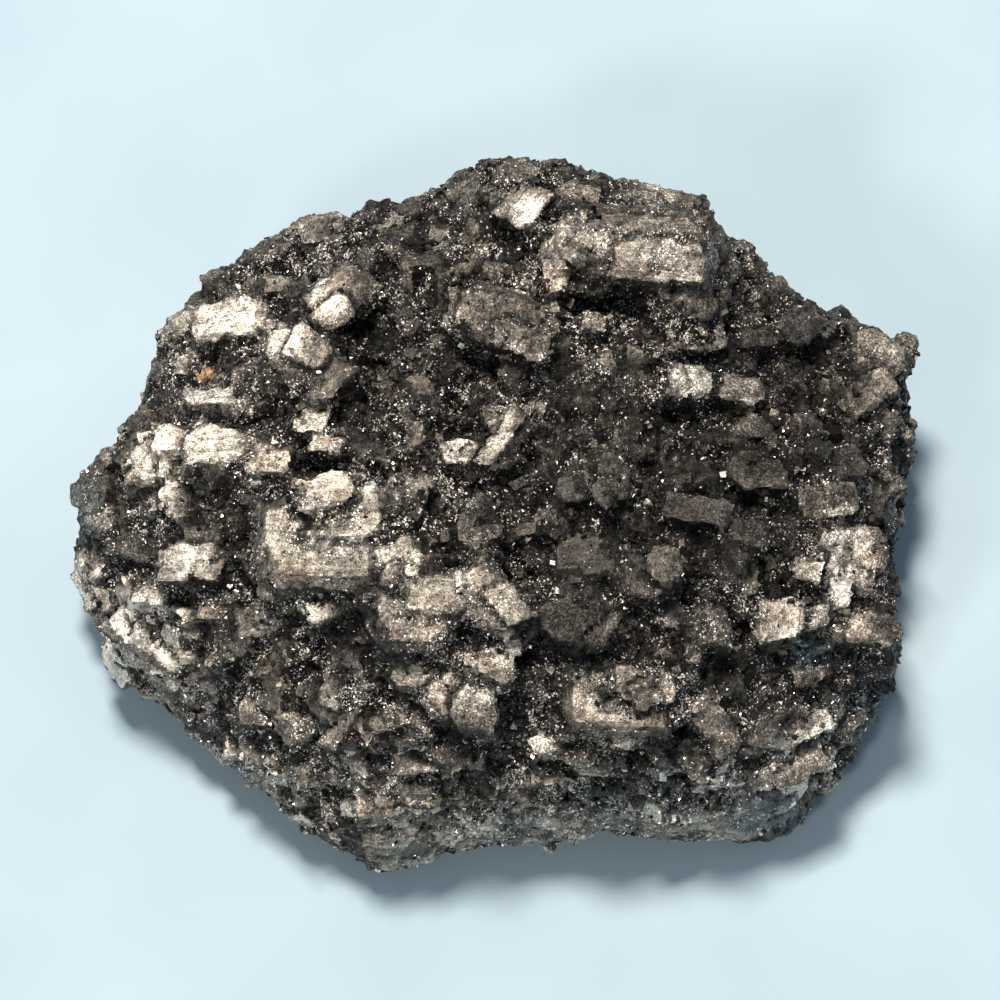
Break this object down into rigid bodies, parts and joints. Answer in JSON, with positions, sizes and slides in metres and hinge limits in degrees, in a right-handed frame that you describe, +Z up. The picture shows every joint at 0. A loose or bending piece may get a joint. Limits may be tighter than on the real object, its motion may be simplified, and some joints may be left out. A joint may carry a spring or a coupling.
{
  "type": "manganite crystal specimen",
  "caption": "Hand-sized cluster of stubby, blocky, steel-grey crystals grown together on a lumpy massive base, broken flat underneath so that it rests.",
  "frame": {"origin": "middle of the bounding box's lower face, on the surface that the specimen rests on", "axes": "+X to the right along the specimen's width, +Y to its back, +Z up; its crystal-covered face looks up and towards -Y"},
  "size_m": [0.0855, 0.0741, 0.0359],
  "materials": {
    "manganite": "natural submetallic steel-grey to black mineral, satin on crystal faces, sparkling where it is covered in tiny crystals"
  },
  "bodies": {
    "root": {"manganite_cluster": "manganite"}
  },
  "joints": []
}
